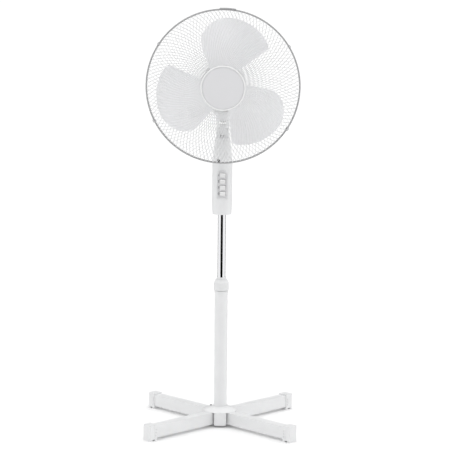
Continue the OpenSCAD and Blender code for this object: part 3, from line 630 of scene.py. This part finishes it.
def topHook(bundle):
    # the wide hook that hangs the front guard on the rear guard's rim
    r, f = guard["rimRadius"], guard["rimAt"]
    section = [(1, 6.6), (3.2, 6.2), (4.3, 4.8), (4.4, -6.6), (3.6, -7.4), (-1.5, -7.4), (-1.5, -5.9),
               (2.2, -5.9), (2.8, -5.4), (2.8, 3.2), (1, 4)]
    bundle.lathe([(r + out, f + along) for out, along in section], guard["hookSteps"],
                 90 + guard["turn"] - guard["hookWide"] / 2, guard["hookWide"])


def buildGuards():
    rims = Sheaf()
    for side, name, node in ((-1, "rear", "rear_guard"), (1, "front", "front_guard")):
        bundle, depth = Sheaf(), guard[name + "Depth"]
        guardRim(rims, side)
        guardWires(bundle, side, depth)
        screwLug(bundle, side)
        centrePlate(bundle, guard["rimAt"] + side * (guard["rimGap"] + depth), guard[name + "Hole"])
        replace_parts(bundle.piece(name + "Guard", "wireSteel", "head", "white_steel"), node)
    topHook(rims)
    # rims and hook take the grey painted shade, not the white of the wires
    rims.piece("guardRims", "rimSteelPaintedShade", "head", "white_steel")


buildGuards()
print("guards: %d wires each" % guard["wires"])


# blades

blade = {
    "count": 3,
    "start": 39,            # degrees, leading edge of the first blade
    "span": 78.5,
    "leadSwept": 6,         # degrees that the leading edge falls back at the root
    "trailSwept": 14,
    "trailCut": 4,
    "sweep": 184,           # millimetres from the axis to the tip
    "tipShare": 0.885,      # the shares below are of the sweep divided by this
    "tipCrown": 0.815,
    "tipBulge": 0.072,
    "tipLean": 1.35,
    "leadCorner": 0.74,
    "trailCorner": 0.62,
    "tipSquareness": 3.4,
    "back": 67,             # millimetres forwards of the pole
    "rise": 56,
    "cup": 5,
    "thickness": 2.2,
    "rootThickness": 2.6,   # added at the hub, and fading over the next distance
    "rootFades": 5,
    "rootInset": 2,
    "thinEdge": 0.25,
    "sideTaper": 8,
    "tipTaper": 14,
    "stepsAcross": 36,
    "stepsOut": 26,
    "tipCrowding": 1.6,
}


def tipRadius(u):
    crown = blade["tipCrown"] + blade["tipBulge"] * math.sin(math.pi * u ** blade["tipLean"])
    corner = blade["leadCorner"] if u < 0.5 else blade["trailCorner"]
    curve = max(0, 1 - abs(2 * u - 1) ** blade["tipSquareness"]) ** 0.5
    return blade["sweep"] / blade["tipShare"] * (corner + (crown - corner) * curve)


def bladePoint(u, out):
    # middle of the blade at share u of its width and share out of its length: x, up, forwards, radius
    root = hub["radius"] - blade["rootInset"]
    r = root + (tipRadius(u) - root) * out
    s = (r - hub["radius"]) / (blade["sweep"] - hub["radius"])
    lead = blade["leadSwept"] * (1 - s) ** 2
    trail = blade["span"] + blade["trailSwept"] * max(0, 1 - s) ** 1.5 - blade["trailCut"]
    a = math.radians(blade["start"] + lead + (trail - lead) * u)
    f = blade["back"] + blade["rise"] * u - blade["cup"] * math.sin(math.pi * u)
    return r * math.cos(a), r * math.sin(a), f, r


def halfThickness(u, share, r):
    thin = blade["thinEdge"]
    edge = min(1, blade["sideTaper"] * u + thin, blade["sideTaper"] * (1 - u) + thin,
               blade["tipTaper"] * (1 - share) + thin)
    root = blade["rootThickness"] * math.exp(-(r - hub["radius"]) / blade["rootFades"])
    return (blade["thickness"] / 2 + root) * math.sqrt(edge)


def bladeFaces(across, out):
    # two skins and the border that joins them
    faces = []
    cols = across + 1
    n = cols * (out + 1)
    for j in range(out):
        for i in range(across):
            a = j * cols + i
            faces.append((a, a + 1, a + cols + 1, a + cols))
            faces.append((n + a, n + a + cols, n + a + cols + 1, n + a + 1))
    border = list(range(across)) + [j * cols + across for j in range(out)]
    border += [out * cols + i for i in range(across, 0, -1)] + [j * cols for j in range(out, 0, -1)]
    for p, q in zip(border, border[1:] + border[:1]):
        faces.append((p, p + n, q + n, q))
    return faces


def buildBlades():
    across, out = blade["stepsAcross"], blade["stepsOut"]
    us = [0.5 - 0.5 * math.cos(math.pi * k / across) for k in range(across + 1)]
    shares = [1 - (1 - j / out) ** blade["tipCrowding"] for j in range(out + 1)]
    for number in range(blade["count"]):
        turn = 2 * math.pi * number / blade["count"]
        c, s = math.cos(turn), math.sin(turn)
        points = []
        for side in (1, -1):
            for share in shares:
                for u in us:
                    x, up, f, r = bladePoint(u, share)
                    lift = side * halfThickness(u, share, r)
                    points.append(ahead(x * c - up * s, x * s + up * c, f + lift))
        leaf = Sheaf()
        leaf.take(points, bladeFaces(across, out))
        leaf.piece("bladeLeaf%d" % (number + 1), "bladePlastic", "rotor", "blade_plastic")


# blade hub

hub = {
    "radius": 44.5,         # millimetres, as are the rest
    "back": 65,
    "front": 122,
    "wall": 3,
    "round": 5,
    "shaftHole": 4.02,
    "boss": 9,
    "dish": (17, 16, 1.4),  # outer and inner radius of the dish in the nose, and its depth
    "ribs": 6,
    "ribStart": 12,         # degrees
    "ribHalf": 0.9,
    "ribEnds": (8.6, 2.8),  # from the axis, and short of the hub's radius
    "ribBack": 8,
    "ribFront": 3.5,
    "web": 4,               # from the back of the hub to the boss, and thickness behind the nose
    "cavity": [(8, 4), (4, 5.5), (3, 9)],  # short of the radius, and behind the front
    "steps": 96,
    "roundSteps": 8,
}


def buildHub():
    r, back, front, bend = hub["radius"], hub["back"], hub["front"], hub["round"]
    rim, bottom, depth = hub["dish"]
    hole, boss, web = hub["shaftHole"], hub["boss"], hub["web"]
    bundle = Sheaf()
    outline = [(r - hub["wall"], back), (r, back)]
    outline += [(r - bend + bend * math.cos(a), front - bend + bend * math.sin(a))
                for a in quarter(hub["roundSteps"])]
    outline += [(rim, front), (bottom, front - depth), (hole, front - depth), (hole, back + web),
                (boss, back + web), (boss, front - web)]
    outline += [(r - inset, front - behind) for inset, behind in hub["cavity"]]
    bundle.lathe(outline, hub["steps"])
    near, far, half = hub["ribEnds"][0], r - hub["ribEnds"][1], hub["ribHalf"]
    for k in range(hub["ribs"]):  # stiffening ribs inside the hub
        a = math.radians(360 / hub["ribs"] * k + hub["ribStart"])
        c, s = math.cos(a), math.sin(a)
        points = [ahead(reach * c - wide * s, reach * s + wide * c, f)
                  for f in (back + hub["ribBack"], front - hub["ribFront"])
                  for reach, wide in ((near, -half), (far, -half), (far, half), (near, half))]
        bundle.take(points, [(0, 3, 2, 1), (4, 5, 6, 7), (0, 1, 5, 4), (1, 2, 6, 5), (2, 3, 7, 6),
                             (3, 0, 4, 7)])
    piece = bundle.piece("bladeHub", "bladePlastic", "rotor", "blade_plastic")
    softenEdges(piece, 0)
    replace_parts(piece, "fan_blade")


buildBlades()
buildHub()
print("blades:", blade["count"])


# centre cap

cap = {
    "radius": 60,           # millimetres, as are the rest
    "ringWidth": 3.4,
    "back": 154.9,          # forwards of the pole
    "crown": 1.6,
    "faceLift": 3.4,
    "floor": 2,
    "lip": 0.4,
    "lipWidth": 2,
    "innerRound": 0.6,
    "innerLift": 4.2,
    "outerRound": 2.6,
    "outerLift": 2.2,
    "centre": 0.0005,       # the hole at the axis, which the weld closes
    "faceSteps": 12,
    "innerSteps": 5,
    "outerSteps": 7,
    "steps": 128,
}


def buildCap():
    back, r = cap["back"], cap["radius"]
    inner, floor = r - cap["ringWidth"], back + cap["floor"]
    small, large = cap["innerRound"], cap["outerRound"]
    face = [(cap["centre"], back + cap["faceLift"] + cap["crown"])]
    for k in range(1, cap["faceSteps"] + 1):
        s = k / cap["faceSteps"]
        face.append((inner * s, back + cap["faceLift"] + cap["crown"] * (1 - s * s)))
    face += [(inner, floor), (cap["centre"], floor)]
    disc = Sheaf()
    disc.lathe(face, cap["steps"])
    # the cap face takes the painted shade copy of the white plastic
    disc = disc.piece("capFace", "capPaintedShade", "head", "cap_plastic")
    weld(disc)
    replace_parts(disc, "guard_cap")
    section = [(inner, floor)]
    section += [(inner + small - small * math.cos(a), back + cap["innerLift"] + small * math.sin(a))
                for a in quarter(cap["innerSteps"])]
    section += [(r - large + large * math.sin(a), back + cap["outerLift"] + large * math.cos(a))
                for a in quarter(cap["outerSteps"])]
    section += [(r, back + cap["lip"]), (r - cap["lipWidth"], back + cap["lip"]),
                (r - cap["lipWidth"], floor)]
    ring = Sheaf()
    ring.lathe(section, cap["steps"])
    # the ring takes the painted highlight copy of the white plastic
    ring.piece("capRing", "capPaintedHighlight", "head", "cap_plastic")


buildCap()
print("centre cap")


# digits beside the keys

digits = {
    "height": 6.5,          # millimetres
    "fontScale": 1.3,       # size of the font for digits of that height
    "left": -10.2,
    "behind": 2.2,          # from the front of a key back to the digits
    "lift": 0.12,
    "keys": {"1": "key_low", "2": "key_medium", "3": "key_high", "0": "key_off"},
}


def buildDigits():
    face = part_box("key_low")[0][1] + digits["behind"] * mm
    for text, key in digits["keys"].items():
        curve = bpy.data.curves.new("digit" + text, "FONT")
        curve.body = text
        curve.size = digits["height"] * mm * digits["fontScale"]
        curve.extrude = digits["lift"] * mm
        curve.align_x, curve.align_y = "CENTER", "CENTER"
        curve.materials.append(paints["digitInk"])
        mark = place("digit" + text, curve)
        mark.rotation_euler = (math.radians(90), 0, 0)
        mark.location = (digits["left"] * mm, face, middle(key)[2])
        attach(mark, "column")


buildDigits()
print("digits:", len(digits["keys"]))


# light, floor and the view

def lightStudio():
    # light from above and from both sides
    f = Finish("studioSky", bpy.data.worlds)
    bpy.context.scene.world = f.material
    across = f.part(f.place, "X")
    up = f.ramp(f.part(f.place, "Z"), 0, 1)
    glow = studio["horizon"] + studio["zenith"] * up + studio["sides"] * across * across
    join(f.tree, f.shader.inputs["Color"], grey(1))
    join(f.tree, f.shader.inputs["Strength"], glow * (1 + studio["lean"] * across))


def placeSheet(name, corners, paint):
    mesh = bpy.data.meshes.new(name)
    mesh.from_pydata(corners, [], [(0, 1, 2, 3)])
    mesh.materials.append(paint)
    sheet = place(name, mesh)
    return sheet


def standCards():
    # black cards that only mirrors see: the chrome tube shows them as a dark stripe and dark edges
    black = Finish("studioBlack").set(color=grey(studio["cardTone"]), roughness=1.0, specular=0.0)
    for name, (turn, away, half) in studio["cards"].items():
        c, s = math.cos(math.radians(turn)), math.sin(math.radians(turn))
        left = (away * s - half * c, -away * c - half * s)
        right = (away * s + half * c, -away * c + half * s)
        low, high = (studio["cardBottom"],), (studio["cardTop"],)
        card = placeSheet("studioCard" + name, [left + low, right + low, right + high, left + high], black)
        card.visible_camera = card.visible_diffuse = card.visible_shadow = card.visible_transmission = False


def layFloor():
    half = studio["floorSize"]
    paper = Finish("studioPaper").set(color=grey(studio["floorTone"]), roughness=0.9)
    placeSheet("studioFloor", [(-half, -half, 0), (half, -half, 0), (half, half, 0), (-half, half, 0)], paper)


placeCamera()
lightStudio()
standCards()
layFloor()
bpy.context.scene.view_settings.view_transform = "Standard"
print("studio set")
